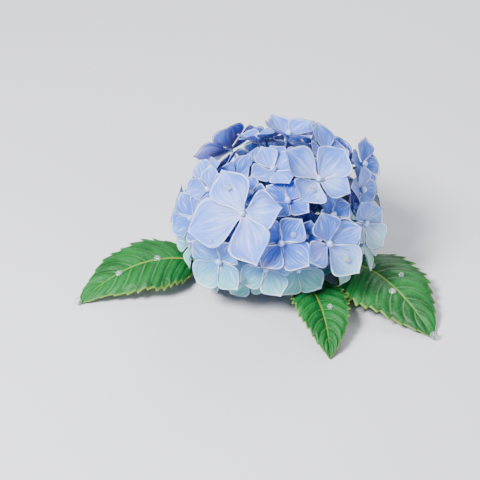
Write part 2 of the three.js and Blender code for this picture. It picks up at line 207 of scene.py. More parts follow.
def grow_blade(bm, along_steps, across_steps, across_spacing, shape, thickness, marks=None):
    """A thin blade from a flat grid: shape(u, v) gives the point at shares of length and half width.

    marks(u, v) gives named values that the material reads at each point."""
    uv_layer = bm.loops.layers.uv.verify()
    example = marks(0.5, 0.0) if marks else {}
    layers = {}
    for key in example:
        layers[key] = bm.verts.layers.float.get(key) or bm.verts.layers.float.new(key)
    made = bmesh.ops.create_grid(bm, x_segments=along_steps, y_segments=across_steps, size=0.5)
    verts = made["verts"]
    faces = faces_of(verts)
    shares = {}
    for vert in verts:
        u = vert.co.x + 0.5
        v = math.copysign(curve(across_spacing, abs(vert.co.y) * 2), vert.co.y)
        shares[vert] = (u, v)
    for face in faces:
        for loop in face.loops:
            u, v = shares[loop.vert]
            loop[uv_layer].uv = (u, 0.5 + 0.5 * v)
    for vert, (u, v) in shares.items():
        vert.co = shape(u, v)
        for key, layer in layers.items():
            vert[layer] = marks(u, v)[key]
    bmesh.ops.remove_doubles(bm, verts=verts, dist=BLADE_WELD)
    faces = [f for f in faces if f.is_valid]
    under = bmesh.ops.extrude_face_region(bm, geom=faces, use_keep_orig=True)["geom"]
    under_verts = [g for g in under if isinstance(g, bmesh.types.BMVert)]
    bmesh.ops.translate(bm, vec=(0, 0, -thickness), verts=under_verts)
    whole = dict.fromkeys(faces_of(under_verts) + faces)
    bmesh.ops.recalc_face_normals(bm, faces=list(whole))


def turned(bm, profile, steps, place, material):
    """A solid of revolution about Z through [radius, height] points, put in place."""
    before = set(bm.verts)
    faces_before = set(bm.faces)
    line = [bm.verts.new((radius, 0, height)) for radius, height in profile]
    edges = [bm.edges.new(pair) for pair in zip(line, line[1:])]
    bmesh.ops.spin(
        bm, geom=line + edges, cent=(0, 0, 0), axis=(0, 0, 1),
        angle=math.tau, steps=steps, use_merge=True,
    )
    verts = [v for v in bm.verts if v not in before]
    bmesh.ops.remove_doubles(bm, verts=verts, dist=TURNED_WELD)
    verts = [v for v in bm.verts if v not in before]
    faces = [f for f in bm.faces if f not in faces_before]
    bmesh.ops.recalc_face_normals(bm, faces=faces)
    for face in faces:
        face.material_index = material
    bmesh.ops.transform(bm, matrix=place, verts=verts)


def tube(bm, path, radii, sides, material):
    """A closed tube along points, as rings joined one to the next."""
    rings = []
    across = None
    faces_before = set(bm.faces)
    for k, point in enumerate(path):
        ahead = (path[min(k + 1, len(path) - 1)] - path[max(k - 1, 0)]).normalized()
        across = across or ahead.orthogonal()
        across = (across - ahead * across.dot(ahead)).normalized()
        axes = Matrix((across, ahead.cross(across), ahead)).transposed().to_4x4()
        ring = bmesh.ops.create_circle(
            bm, segments=sides, radius=radii[k], matrix=Matrix.Translation(point) @ axes,
            cap_ends=k in (0, len(path) - 1),
        )["verts"]
        rings.append(ring)
    for near, far in zip(rings, rings[1:]):
        edges = []
        for ring in (near, far):
            members = set(ring)
            edges += [
                e for v in ring for e in v.link_edges
                if e.other_vert(v) in members and e not in edges
            ]
        bmesh.ops.bridge_loops(bm, edges=list(dict.fromkeys(edges)))
    faces = [f for f in bm.faces if f not in faces_before]
    bmesh.ops.recalc_face_normals(bm, faces=faces)
    for face in faces:
        face.material_index = material


def settle_piece(name, bm, materials, nodes=()):
    """Turns a worked-out shape into a piece of the flower."""
    bmesh.ops.scale(bm, vec=(MM, MM, MM), verts=bm.verts)
    mesh = bpy.data.meshes.new(name)
    bm.to_mesh(mesh)
    bm.free()
    for material in materials:
        mesh.materials.append(material)
    mesh.shade_smooth()
    piece = bpy.data.objects.new(name, mesh)
    bpy.context.scene.collection.objects.link(piece)
    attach(piece, "root")
    if nodes:
        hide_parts(*nodes)


# ---- Material helpers ----
COLOUR_A, COLOUR_B, MIXED_COLOUR = 6, 7, 2  # a Mix node's sockets for colour


def shade(hex_code):
    """A colour written as red, green and blue pairs, as the renderer needs it."""
    channels = [int(hex_code[k : k + 2], 16) / 255 for k in (0, 2, 4)]
    return [c / 12.92 if c < 0.04045 else ((c + 0.055) / 1.055) ** 2.4 for c in channels] + [1]


def paint(colour):
    return shade(colour) if isinstance(colour, str) else colour


class Recipe:
    """A material's nodes, written one after another."""

    def __init__(self, name):
        self.material = bpy.data.materials.new(name)
        self.material.use_nodes = True
        self.tree = self.material.node_tree
        self.shader = self.tree.nodes["Principled BSDF"]
        self.coordinates = self.node("ShaderNodeTexCoord").outputs
        self.place = self.coordinates["Object"]

    def node(self, kind, inputs=None, **settings):
        made = self.tree.nodes.new(kind)
        for key, value in settings.items():
            setattr(made, key, value)
        for key, value in (inputs or {}).items():
            self.feed(made.inputs[key], value)
        return made

    def feed(self, socket, value):
        if isinstance(value, bpy.types.NodeSocket):
            self.tree.links.new(value, socket)
        else:
            socket.default_value = value

    def math(self, operation, *values):
        made = self.node("ShaderNodeMath", dict(enumerate(values)), operation=operation)
        return made.outputs[0]

    def times(self, a, b):
        return self.math("MULTIPLY", a, b)

    def from_middle(self, share):
        """Turns 0 to 1 into -1 to 1."""
        return self.math("MULTIPLY_ADD", share, 2.0, -1.0)

    def parts(self, vector):
        """X, Y and Z of a vector."""
        return self.node("ShaderNodeSeparateXYZ", {0: vector}).outputs

    def away_from(self, middle):
        """The vector from a point to the place being painted."""
        inputs = {0: self.place, 1: middle}
        return self.node("ShaderNodeVectorMath", inputs, operation="SUBTRACT").outputs[0]

    def length(self, vector):
        measured = self.node("ShaderNodeVectorMath", {0: vector}, operation="LENGTH")
        return measured.outputs["Value"]

    def attribute(self, name):
        return self.node("ShaderNodeAttribute", attribute_name=name).outputs["Fac"]

    def fade(self, value, low, high, start=0.0, end=1.0):
        """start where value is low, end where it is high, and a smooth change between."""
        made = self.node(
            "ShaderNodeMapRange",
            {"Value": value, "From Min": low, "From Max": high, "To Min": start, "To Max": end},
            interpolation_type="SMOOTHSTEP",
        )
        return made.outputs["Result"]

    def glaze(self, colour, share, over):
        """Lays over on top of colour, as thickly as share says. Each is a hex code or a socket."""
        made = self.node("ShaderNodeMix", data_type="RGBA")
        self.feed(made.inputs[0], share)
        self.feed(made.inputs[COLOUR_A], paint(colour))
        self.feed(made.inputs[COLOUR_B], paint(over))
        return made.outputs[MIXED_COLOUR]

    def ramp(self, value, stops):
        made = self.node("ShaderNodeValToRGB", {"Fac": value})
        elements = made.color_ramp.elements
        while len(elements) < len(stops):
            elements.new(0.5)
        for element, (position, colour) in zip(elements, stops):
            element.position = position
            element.color = shade(colour)
        return made.outputs["Color"]

    def noise(self, scale, detail, vector=None):
        inputs = {"Scale": scale, "Detail": detail, "Vector": self.place if vector is None else vector}
        return self.node("ShaderNodeTexNoise", inputs).outputs["Fac"]

    def bump(self, height, strength, distance):
        made = self.node(
            "ShaderNodeBump", {"Height": height, "Strength": strength, "Distance": distance}
        )
        self.feed(self.shader.inputs["Normal"], made.outputs["Normal"])

    def finish(self, colour, roughness, **constants):
        self.feed(self.shader.inputs["Base Color"], paint(colour))
        self.feed(self.shader.inputs["Roughness"], roughness)
        for key, value in constants.items():
            socket = key.replace("_", " ").title().replace("Ior", "IOR")
            self.shader.inputs[socket].default_value = value
        return self.material


# ---- Camera ----
CAMERA_RISE = math.radians(35)
CAMERA_DISTANCE = 1.2  # metres
FRAME_WIDTH = 0.320  # metres that the camera takes in at the flower
SENSOR_WIDTH = 36
AIM_LEFT = 24.7  # of the stem's foot, in millimetres
AIM_ABOVE = 14.0  # and up the view from there

towards_camera = Vector((0, -math.cos(CAMERA_RISE), math.sin(CAMERA_RISE)))
screen_up = Vector((0, math.sin(CAMERA_RISE), math.cos(CAMERA_RISE)))
aim = (stem_foot - Vector((AIM_LEFT, 0, 0)) + screen_up * AIM_ABOVE) * MM
lens = bpy.data.cameras.new("camera")
lens.sensor_width = SENSOR_WIDTH
lens.lens = SENSOR_WIDTH * CAMERA_DISTANCE / FRAME_WIDTH
camera = bpy.data.objects.new("camera", lens)
camera.location = aim + towards_camera * CAMERA_DISTANCE
camera.rotation_mode = "QUATERNION"
camera.rotation_quaternion = (-towards_camera).to_track_quat("-Z", "Y")
bpy.context.scene.collection.objects.link(camera)
bpy.context.scene.camera = camera


# ---- Floor and studio light ----
FLOOR_HALF = 3
STUDIO_GLOW = 0.32
LIGHTS_AIM = Vector((0, 0, 0.05))
# Name, place, width and watts.
STUDIO_LIGHTS = [
    ("key_light", (-0.6, -0.45, 0.9), 0.4, 38),
    ("fill_light", (0.8, -0.7, 0.4), 0.7, 6),
    ("back_light", (0.3, 0.8, 0.8), 0.5, 9),
]


def make_studio():
    """A pale floor, an even glow and three soft lights."""
    bm = bmesh.new()
    bmesh.ops.create_grid(bm, x_segments=1, y_segments=1, size=FLOOR_HALF)
    mesh = bpy.data.meshes.new("floor")
    bm.to_mesh(mesh)
    bm.free()
    floor = bpy.data.objects.new("floor", mesh)
    bpy.context.scene.collection.objects.link(floor)
    mesh.materials.append(Recipe("pale_floor").finish("d9d9de", 0.7))
    world = bpy.data.worlds.new("studio")
    world.use_nodes = True
    background = world.node_tree.nodes["Background"]
    background.inputs["Color"].default_value = shade("dfe4f2")
    background.inputs["Strength"].default_value = STUDIO_GLOW
    bpy.context.scene.world = world
    for name, place, width, watts in STUDIO_LIGHTS:
        lamp = bpy.data.lights.new(name, "AREA")
        lamp.size = width
        lamp.energy = watts
        holder = bpy.data.objects.new(name, lamp)
        holder.location = place
        holder.rotation_mode = "QUATERNION"
        holder.rotation_quaternion = (LIGHTS_AIM - Vector(place)).to_track_quat("-Z", "Y")
        bpy.context.scene.collection.objects.link(holder)


make_studio()

# ---- Materials ----
HEAD_MIDDLE_HEIGHT = 38
HEAD_CENTRE = stem_foot + UP * HEAD_MIDDLE_HEIGHT
DOME_STRETCH = 1.36  # brings the dome's height up to its width
SKIRT_STRETCH = 2.0  # and what lies below the middle of the head
FINE_RELIEF = 0.0002  # metres
COARSE_RELIEF = 0.0003
LIGHT_REACH = 0.002  # how far light wanders inside a petal or a leaf


def head_depth(recipe):
    """Metres from the middle of the head, with the dome's height and its skirt stretched to match."""
    parts = recipe.parts(recipe.away_from(HEAD_CENTRE * MM))
    dome = recipe.times(parts["Z"], DOME_STRETCH)
    skirt = recipe.times(parts["Z"], -SKIRT_STRETCH)
    rise = recipe.math("MAXIMUM", dome, skirt)
    stretched = recipe.node("ShaderNodeCombineXYZ", {0: parts["X"], 1: parts["Y"], 2: rise})
    return recipe.length(stretched.outputs[0])


def sepal_material():
    """Periwinkle and sky blue, streaked, greener low down; painted highlights on the near-white rims and
    towards the tips, painted shade on one half, towards the claw and deep inside the head.
    """
    recipe = Recipe("blue_sepal")
    uv = recipe.parts(recipe.coordinates["UV"])
    along, across = uv["X"], uv["Y"]
    sideways = recipe.from_middle(across)
    tone = recipe.attribute("tone")
    margin = recipe.attribute("margin")
    place = recipe.parts(recipe.place)

    # Each sepal runs from its claw to its tip, bluer or paler by its tone.
    blue = recipe.ramp(along, [
        (0.0, "8fb0c8"), (0.12, "3f72d2"), (0.3, "3a70e0"),
        (0.62, "4880f0"), (0.9, "74a6fb"), (1.0, "b0d0ff"),
    ])
    pale = recipe.ramp(along, [
        (0.0, "d4d6c8"), (0.14, "a9b4f2"), (0.38, "9ab6fb"),
        (0.68, "6390f6"), (0.93, "6a9afa"), (1.0, "b8d2ff"),
    ])
    colour = recipe.glaze(blue, tone, pale)
    colour = recipe.glaze(colour, recipe.fade(tone, 0.05, 0.55, 0.7, 0.0), "2450bc")
    cloud = recipe.noise(60.0, 2.0)
    colour = recipe.glaze(colour, recipe.fade(cloud, 0.45, 0.7, 0, 0.5), "3f72dc")
    blush = recipe.noise(38.0, 1.0)
    colour = recipe.glaze(colour, recipe.fade(blush, 0.56, 0.72, 0, 0.3), "cdb8ee")

    # Painted shade: one half of a sepal is darker than the other.
    painted_side_shade = recipe.times(sideways, recipe.attribute("shading"))
    colour = recipe.glaze(colour, recipe.fade(painted_side_shade, -0.1, 0.8, 0.0, 0.75), "2a55b8")

    # Teal near the surface, mint at the low right, and a painted shade of deep blue inside the head.
    low = recipe.fade(place["Z"], 0.014, 0.052, 0.9, 0.0)
    colour = recipe.glaze(colour, low, "6cc4b2")
    right = recipe.fade(place["X"], 0.035, 0.075, 0.0, 1.0)
    right = recipe.times(right, recipe.fade(place["Z"], 0.03, 0.065, 0.6, 0.0))
    colour = recipe.glaze(colour, right, "b9ddc8")
    painted_depth_shade = recipe.fade(head_depth(recipe), 0.043, 0.067, 0.9, 0.0)
    colour = recipe.glaze(colour, painted_depth_shade, "183f8e")

    # Long streaks, darker towards the claw as painted shade and lighter towards the tip as a painted
    # highlight, and fine veins in a fan.
    spread = {0: recipe.times(along, 1.6), 1: recipe.times(across, 15.0), 2: tone}
    spread = recipe.node("ShaderNodeCombineXYZ", spread)
    streak = recipe.noise(1.0, 3.0, spread.outputs[0])
    dark = recipe.times(recipe.fade(streak, 0.48, 0.68), recipe.fade(along, 0.05, 0.9, 0.6, 0.15))
    colour = recipe.glaze(colour, dark, "2f62cc")
    light = recipe.times(recipe.fade(streak, 0.52, 0.32), recipe.fade(along, 0.2, 0.7, 0.12, 0.42))
    colour = recipe.glaze(colour, light, "d4e2ff")
    fan = recipe.math("ADD", recipe.times(sideways, 3.5), recipe.times(streak, 0.4))
    ridge = recipe.math("ABSOLUTE", recipe.math("SUBTRACT", recipe.math("FRACT", fan), 0.5))
    vein = recipe.fade(ridge, 0.0, 0.07, 1.0, 0.0)
    colour = recipe.glaze(colour, recipe.times(vein, recipe.fade(along, 0.1, 0.95, 0.35, 0.0)), "2f5cbc")

    # A painted highlight: a near-white rim, patchy and faint under the painted shade inside the head,
    # with a thin dark edge round it.
    patchy = recipe.fade(recipe.noise(120.0, 1.0), 0.38, 0.62, 0.25, 1.0)
    painted_rim_highlight = recipe.times(recipe.fade(margin, 0.3, 1.3, 1.0, 0.0), patchy)
    painted_rim_highlight = recipe.times(painted_rim_highlight, recipe.fade(painted_depth_shade, 0.0, 0.8, 0.9, 0.15))
    colour = recipe.glaze(colour, painted_rim_highlight, "f4f8ff")
    colour = recipe.glaze(colour, recipe.fade(margin, 0.12, 0.45, 0.85, 0.0), "1e3f86")

    grain = recipe.noise(900.0, 2.0)
    recipe.bump(recipe.math("MULTIPLY_ADD", vein, -0.7, grain), 0.35, FINE_RELIEF)
    return recipe.finish(
        colour, 0.5, subsurface_weight=0.15, subsurface_scale=LIGHT_REACH, sheen_weight=0.1, ior=1.4
    )


def eye_material():
    """A pearly pale blue bead, finely speckled."""
    recipe = Recipe("pearl_eye")
    speck = recipe.noise(500.0, 3.0)
    colour = recipe.glaze("8fb2ea", recipe.fade(speck, 0.4, 0.65), "d3e2fb")
    recipe.bump(speck, 0.3, FINE_RELIEF)
    return recipe.finish(colour, 0.28, subsurface_weight=0.1, subsurface_scale=LIGHT_REACH)


def stalk_material():
    """Pale green, blue near the florets and paler at the cut, with fine mottling."""
    recipe = Recipe("green_stalk")
    place = recipe.parts(recipe.place)
    reach = recipe.length(recipe.away_from(HUB * MM))
    mottle = recipe.noise(420.0, 4.0)
    colour = recipe.glaze("6f9a52", recipe.fade(mottle, 0.35, 0.7), "96b874")
    colour = recipe.glaze(colour, recipe.fade(reach, 0.018, 0.04), "5b7fb6")
    colour = recipe.glaze(colour, recipe.fade(place["Z"], 0.0, 0.0012, 1.0, 0.0), "c3cf9d")
    recipe.bump(mottle, 0.4, COARSE_RELIEF)
    return recipe.finish(colour, 0.5, subsurface_weight=0.1, subsurface_scale=LIGHT_REACH)


# The side veins, as the leaf's colour and its shape both follow them.
LEAF_VEINS = 9.0  # on each side
VEIN_SLOPE = 0.17  # towards the tip, as a share of the leaf's length
VEIN_BOW = 0.05  # and the bend added to that


def leaf_material():
    """Glossy green with a pale midrib and side veins, a fine net between them, and yellowish teeth."""
    recipe = Recipe("toothed_leaf")
    uv = recipe.parts(recipe.coordinates["UV"])
    along = uv["X"]
    margin = recipe.math("ABSOLUTE", recipe.from_middle(uv["Y"]))

    # The side veins slope and bow from the midrib as the blade's own quilting does.
    wander = recipe.times(recipe.noise(60.0, 2.0), 0.02)
    rise = recipe.math("MULTIPLY_ADD", margin, VEIN_SLOPE, wander)
    rise = recipe.math("ADD", rise, recipe.times(recipe.math("POWER", margin, 2.0), VEIN_BOW))
    order = recipe.times(recipe.math("SUBTRACT", along, rise), LEAF_VEINS)
    gap = recipe.math("ABSOLUTE", recipe.math("SUBTRACT", recipe.math("FRACT", order), 0.5))
    side_vein = recipe.times(recipe.fade(gap, 0.4, 0.49), recipe.fade(margin, 0.55, 1.0, 1.0, 0.15))
    midrib = recipe.fade(margin, 0.012, 0.05, 1.0, 0.0)
    veins = recipe.math("MAXIMUM", midrib, recipe.times(side_vein, 0.75))
    net = {"Vector": recipe.place, "Scale": 420.0}
    net = recipe.node("ShaderNodeTexVoronoi", net, feature="DISTANCE_TO_EDGE")
    net_line = recipe.fade(net.outputs["Distance"], 0.0, 0.12, 1.0, 0.0)

    patch = recipe.noise(45.0, 3.0)
    colour = recipe.glaze("043b14", recipe.fade(patch, 0.35, 0.65), "0c5c22")
    colour = recipe.glaze(colour, recipe.fade(gap, 0.0, 0.45, 0.3, 0.0), "1f8838")
    # Painted shade: the leaf's green darkens towards its base, under the head.
    colour = recipe.glaze(colour, recipe.fade(along, 0.0, 0.4, 0.6, 0.0), "052d12")  # under the head
    colour = recipe.glaze(colour, recipe.times(net_line, 0.08), "4fb050")
    colour = recipe.glaze(colour, recipe.times(veins, 0.42), "58b050")
    teeth = recipe.times(recipe.fade(margin, 0.93, 1.0), 0.5)
    colour = recipe.glaze(colour, teeth, "9cb848")
    sunken = recipe.times(veins, -1.0)
    recipe.bump(recipe.math("MULTIPLY_ADD", net_line, -0.5, sunken), 0.5, COARSE_RELIEF)
    roughness = recipe.fade(patch, 0.3, 0.7, 0.42, 0.55)
    return recipe.finish(
        colour, roughness, subsurface_weight=0.05, subsurface_scale=LIGHT_REACH, specular_ior_level=0.3
    )


def dew_material():
    """Water, a touch clouded."""
    recipe = Recipe("clear_water")
    roughness = recipe.fade(recipe.noise(300.0, 2.0), 0.3, 0.8, 0.0, 0.04)
    return recipe.finish("f6fbff", roughness, transmission_weight=0.8, ior=1.33)


sepal_look = sepal_material()
eye_look = eye_material()
stalk_look = stalk_material()
leaf_look = leaf_material()
dew_look = dew_material()

# ---- Florets ----
SEPAL_OUTLINE = [
    (0, 0.1), (0.12, 0.24), (0.25, 0.54), (0.38, 0.83), (0.48, 0.97), (0.56, 1.0), (0.68, 0.88),
    (0.79, 0.6), (0.88, 0.32), (0.94, 0.14), (1, 0),
]
SEPAL_HALF_WIDTH = 0.49  # over its length
NARROWING = 0.0042  # less of that for every millimetre that a sepal is longer than a small one
SMALL_LENGTH = 22
SEPAL_SPACING = [(0, 0), (0.12, 0.07), (0.35, 0.34), (0.65, 0.68), (0.85, 0.9), (0.93, 0.965), (1, 1)]
SEPAL_TROUGH = 0.24  # slope of the sides up from the midrib
PLEATS = 2.6  # soft folds from the midrib to each margin
PLEAT_DEPTHS = (0.006, 0.013)  # this and the next three are shares of the sepal's length
RIPPLE_DEPTHS = (0.02, 0.036)
MIDRIB_GROOVE = 0.016
SIDE_GROOVE = 0.006
SEPAL_THICKNESS = 0.35
SEPAL_STEPS = (22, 14)  # along and across
EYE_RADIUS = 2.1
EYE_DENT = 0.07  # depth of the four creases in the eye, as a share of its radius
# Radius and height of the cup under the sepals, from the pedicel to inside the eye.
RECEPTACLE = [(1.5, -1.5), (2.1, -0.7), (2.2, 0.2), (1.6, 0.9), (0, 1.0)]
TOUCHING = 0.6  # below this height a sepal starts to lie along the surface
LYING = 0.12  # share of its slope that it keeps there
# How pale each of the large front florets is, from 0, plain blue, to 1, lilac-white.
FRONT_TONES = {"floret_01": 0.8, "floret_02": 1.0, "floret_03": 0.45, "floret_04": 0.6, "floret_05": 0.2}
PLAIN_TONES = (0, 0.6)  # least and most of that for the others


class Sepal:
    """One sepal's surface in its floret's own frame: call it with shares of length and half width."""

    def __init__(self, angle, length, height, step, chance):
        self.length = length
        self.step = step
        self.rise = height + step
        self.turn = Matrix.Rotation(angle, 3, "Z")
        self.half = length * (SEPAL_HALF_WIDTH - NARROWING * max(0, length - SMALL_LENGTH))
        self.ripple = [chance.uniform(*RIPPLE_DEPTHS) * length for _ in range(2)]
        self.pleat = chance.uniform(*PLEAT_DEPTHS) * length
        self.phase = [chance.uniform(0, math.tau) for _ in range(2)]
        self.twist = chance.uniform(-0.1, 0.1)
        self.curl = chance.uniform(-0.06, 0.03)
        self.lean = chance.uniform(-0.05, 0.05)

    def half_width(self, u):
        return self.half * curve(SEPAL_OUTLINE, u)

    def __call__(self, u, v):
        length = self.length
        side = self.half_width(u) * v
        half = 0 if v > 0 else 1
        # The cup, its trough, the pleats and the twist.
        z = self.rise * (1.5 * u * u - 0.5 * u**4) - self.step
        z += SEPAL_TROUGH * abs(side) * (0.45 + 0.55 * abs(v) ** 1.5)
        z += self.pleat * math.cos(PLEATS * math.pi * v) * bell(u - 0.42, 0.36)
        z += side * self.twist * u
        # The rippled margin, the midrib, a side groove and the curl of the tip.
        wave = math.sin(math.tau * 1.3 * u + self.phase[half])
        z += self.ripple[half] * abs(v) ** 2 * wave * smoothstep(0.15, 0.5, u) * smoothstep(1.05, 0.8, u)
        z -= MIDRIB_GROOVE * length * bell(v, 0.09) * smoothstep(1, 0.6, u)
        z -= SIDE_GROOVE * length * bell(abs(v) - 0.45, 0.08) * smoothstep(1, 0.5, u)
        z += self.curl * length * smoothstep(0.72, 1.0, u)
        bend = self.lean * length * u * u
        return self.turn @ Vector((u * length, side + bend, z))

    def from_margin(self, u, v):
        """Millimetres in from the margin, near enough."""
        step = 0.02
        change = self.half_width(min(u + step, 1)) - self.half_width(u - step)
        slope = change / (2 * step * self.length)
        sideways = (1 - abs(v)) * self.half_width(u) / math.hypot(1, slope)
        return min(sideways, (1 - u) * self.length * 0.6)


def model_floret(bm, name, place, sepals, reach, tone, steps=SEPAL_STEPS):
    """Adds four sepals, the pearly eye in their middle, and the pedicel with its receptacle."""
    chance = random.Random(name)
    before = set(bm.verts)
    rises = [height / length for _, length, height in sepals]
    lower_pair = 0 if sum(rises[0::2]) < sum(rises[1::2]) else 1
    surfaces = []
    for k, (angle, length, height) in enumerate(sepals):
        step = PAIR_STEP if k % 2 == lower_pair else 0
        surface = Sepal(angle, length, height, step, chance)
        own_tone = min(max(tone + chance.uniform(-0.2, 0.2), 0), 1)
        shading = chance.uniform(-1, 1)

        def marks(u, v, surface=surface, own_tone=own_tone, shading=shading):
            return {"tone": own_tone, "shading": shading, "margin": surface.from_margin(u, v)}

        grow_blade(bm, *steps, SEPAL_SPACING, surface, SEPAL_THICKNESS, marks)
        surfaces.append(surface)

    eye = bmesh.ops.create_uvsphere(bm, u_segments=16, v_segments=10, radius=EYE_RADIUS)["verts"]
    for vert in eye:
        around = math.atan2(vert.co.y, vert.co.x)
        vert.co.xy *= 1 - EYE_DENT * bell(math.sin(2 * around), 0.35) * smoothstep(-0.5, 0.6, vert.co.z)
        vert.co.z = vert.co.z * 0.94 + EYE_HEIGHT - 0.96 * EYE_RADIUS
    for face in faces_of(eye):
        face.material_index = FLORET_LOOKS.index(eye_look)
    profile = [
        (0, -reach), (PEDICEL_RADIUS, -reach), (PEDICEL_RADIUS * 0.9, -reach / 2),
        (PEDICEL_RADIUS, -2.6), *RECEPTACLE,
    ]
    turned(bm, profile, 12, Matrix(), FLORET_LOOKS.index(stalk_look))
    verts = [v for v in bm.verts if v not in before]
    bmesh.ops.transform(bm, matrix=place, verts=verts)
    for vert in verts:
        if vert.co.z < TOUCHING:  # the lowest sepals lie along the surface and don't pass it
            vert.co.z = TOUCHING + (vert.co.z - TOUCHING) * LYING
    return surfaces


FLORET_LOOKS = [sepal_look, eye_look, stalk_look]
floret_trees = []
for floret in florets:
    number = floret.name.split("_")[1]
    tone = FRONT_TONES.get(floret.name, random.Random(number).uniform(*PLAIN_TONES))
    reach = (floret.centre - floret.foot).length
    bm = bmesh.new()
    name = f"bloom_{number}"
    floret.surfaces = model_floret(bm, name, floret.place, floret.sepals, reach, tone)
    floret_trees.append(BVHTree.FromBMesh(bm))
    settle_piece(name, bm, FLORET_LOOKS, [floret.name])


# ---- Stem and rays ----
WAYS = [UP] + [
    Vector((math.cos(a), math.sin(a), SIDE_FORK_RISE)).normalized()
    for a in (math.tau * k / SIDE_FORKS for k in range(SIDE_FORKS))
]
FORKS = [HUB + way * MAIN_RAY_LENGTH for way in WAYS]


def model_stem():
    """The stem with its leaf node and hub, the main rays, and a thin ray to each floret."""
    bm = bmesh.new()
    node_low = LEAF_NODE_HEIGHT - LEAF_NODE_RADIUS / 2
    node_high = LEAF_NODE_HEIGHT + LEAF_NODE_RADIUS / 2
    profile = [
        (0, 0), (STEM_RADIUS * 0.35, 0), (STEM_RADIUS * 0.85, 0), (STEM_RADIUS, 0.5),
        (STEM_RADIUS, node_low - 1), (STEM_RADIUS * 1.1, node_low + 0.5),
        (LEAF_NODE_RADIUS * 0.97, LEAF_NODE_HEIGHT - 0.8),
        (LEAF_NODE_RADIUS * 0.97, LEAF_NODE_HEIGHT + 0.8),
        (STEM_RADIUS * 1.1, node_high - 0.5), (STEM_RADIUS, node_high + 1),
        (NECK_RADIUS, HUB_HEIGHT - HUB_RADIUS), (HUB_RADIUS * 0.9, HUB_HEIGHT - 1.5),
        (HUB_RADIUS * 0.9, HUB_HEIGHT + 1.5), (HUB_RADIUS * 0.5, HUB_HEIGHT + 4.2),
        (0, HUB_HEIGHT + HUB_RADIUS),
    ]
    turned(bm, profile, 28, Matrix.Translation(stem_foot), 0)
    for fork in FORKS:
        path = [HUB.lerp(fork, t) for t in (0, 0.35, 0.7, 0.92, 1.06)]
        radii = [MAIN_RAY_RADIUS * k for k in (1.2, 1.0, 0.95, 1.2, 0.8)]
        tube(bm, path, radii, 14, 0)
    for floret in florets:
        # A thin ray, whose last four rings swell into the knuckle under the pedicel.
        end = floret.foot - floret.out * SEAT_REACH
        fork = min(FORKS, key=lambda f: (f - end).length)
        beyond = (end - fork).normalized()
        path = [fork.lerp(end, t) for t in (0, 0.25, 0.5, 0.75)]
        path += [end - beyond * 1.6, end - beyond * 0.6, end + beyond * 0.5, end + beyond * 1.5]
        radii = [RAY_RADIUS * k for k in (1.25, 1.0, 0.95, 0.95)]
        radii += [RAY_RADIUS, KNUCKLE_RADIUS * 0.9, KNUCKLE_RADIUS * 0.92, KNUCKLE_RADIUS * 0.45]
        tube(bm, path, radii, 10, 0)
    settle_piece("branched_stem", bm, [stalk_look], ["stem"])


model_stem()

# ---- Small florets deep in the head, where there is room between the large ones ----
INNER_LIMIT = 60
INNER_DIRECTIONS = 380
INNER_LOWEST = -0.4  # sine of the lowest direction's elevation
INNER_REACHES = (61, 57, 53, 49, 45, 41, 37)
INNER_LENGTHS = (11, 15, 19)
INNER_CUP = 0.34
INNER_ROOM = 3.4  # nothing lies nearer to the middle of an inner floret
INNER_SPACING = 12  # between their middles
INNER_STALK = 6  # from the middle of an inner floret to the end of its ray
INNER_TURNS = 4  # ways round that are tried in each place
INNER_STEPS = (12, 8)
TRIAL_STEPS = (5, 4)
TRIAL_THICKNESS = 0.6
GOLDEN_ANGLE = 2.39996
DOME_FLATTENING = 0.74


def inner_sepals(length, turn):
    roll = turn * math.pi / (2 * INNER_TURNS)
    return [(roll + math.pi / 2 * k, length, length * INNER_CUP) for k in range(4)]


def is_free(trial, place, foot, fork, trees):
    """Whether a trial shape and its stalk miss the florets already there, above the surface."""
    bm = trial.copy()
    bmesh.ops.transform(bm, matrix=place, verts=bm.verts)
    if min(v.co.z for v in bm.verts) < SURFACE_LIFT:
        bm.free()
        return False
    way = (foot - fork).to_track_quat("Z", "Y").to_matrix().to_4x4()
    bmesh.ops.create_cone(
        bm, segments=5, radius1=RAY_RADIUS, radius2=RAY_RADIUS, depth=(foot - fork).length,
        matrix=Matrix.Translation((foot + fork) / 2) @ way,
    )
    whole = BVHTree.FromBMesh(bm)
    bm.free()
    return not any(tree.overlap(whole) for tree in trees)


def make_trials():
    """A rough shape for each size and turn of an inner floret, to try for room."""
    trials = {}
    for length in INNER_LENGTHS:
        for turn in range(INNER_TURNS):
            bm = bmesh.new()
            for angle, reach, height in inner_sepals(length, turn):
                surface = Sepal(angle, reach, height, 0, random.Random(turn))
                grow_blade(bm, *TRIAL_STEPS, [(0, 0), (1, 1)], surface, TRIAL_THICKNESS)
            trials[length, turn] = bm
    return trials


def inner_directions():
    """Ways out from the middle of the head, evenly spread and going up round it."""
    for k in range(INNER_DIRECTIONS):
        rise = INNER_LOWEST + (1 - INNER_LOWEST) * (k + 0.5) / INNER_DIRECTIONS
        around = k * GOLDEN_ANGLE
        level = math.sqrt(1 - rise * rise)
        yield Vector((math.cos(around) * level, math.sin(around) * level, rise * DOME_FLATTENING))


def largest_that_fits(trials, turn, place, foot, fork, trees):
    """The length of sepal that has room, or 0."""
    fitting = 0
    for length in INNER_LENGTHS:
        if not is_free(trials[length, turn], place, foot, fork, trees):
            break
        fitting = length
    return fitting


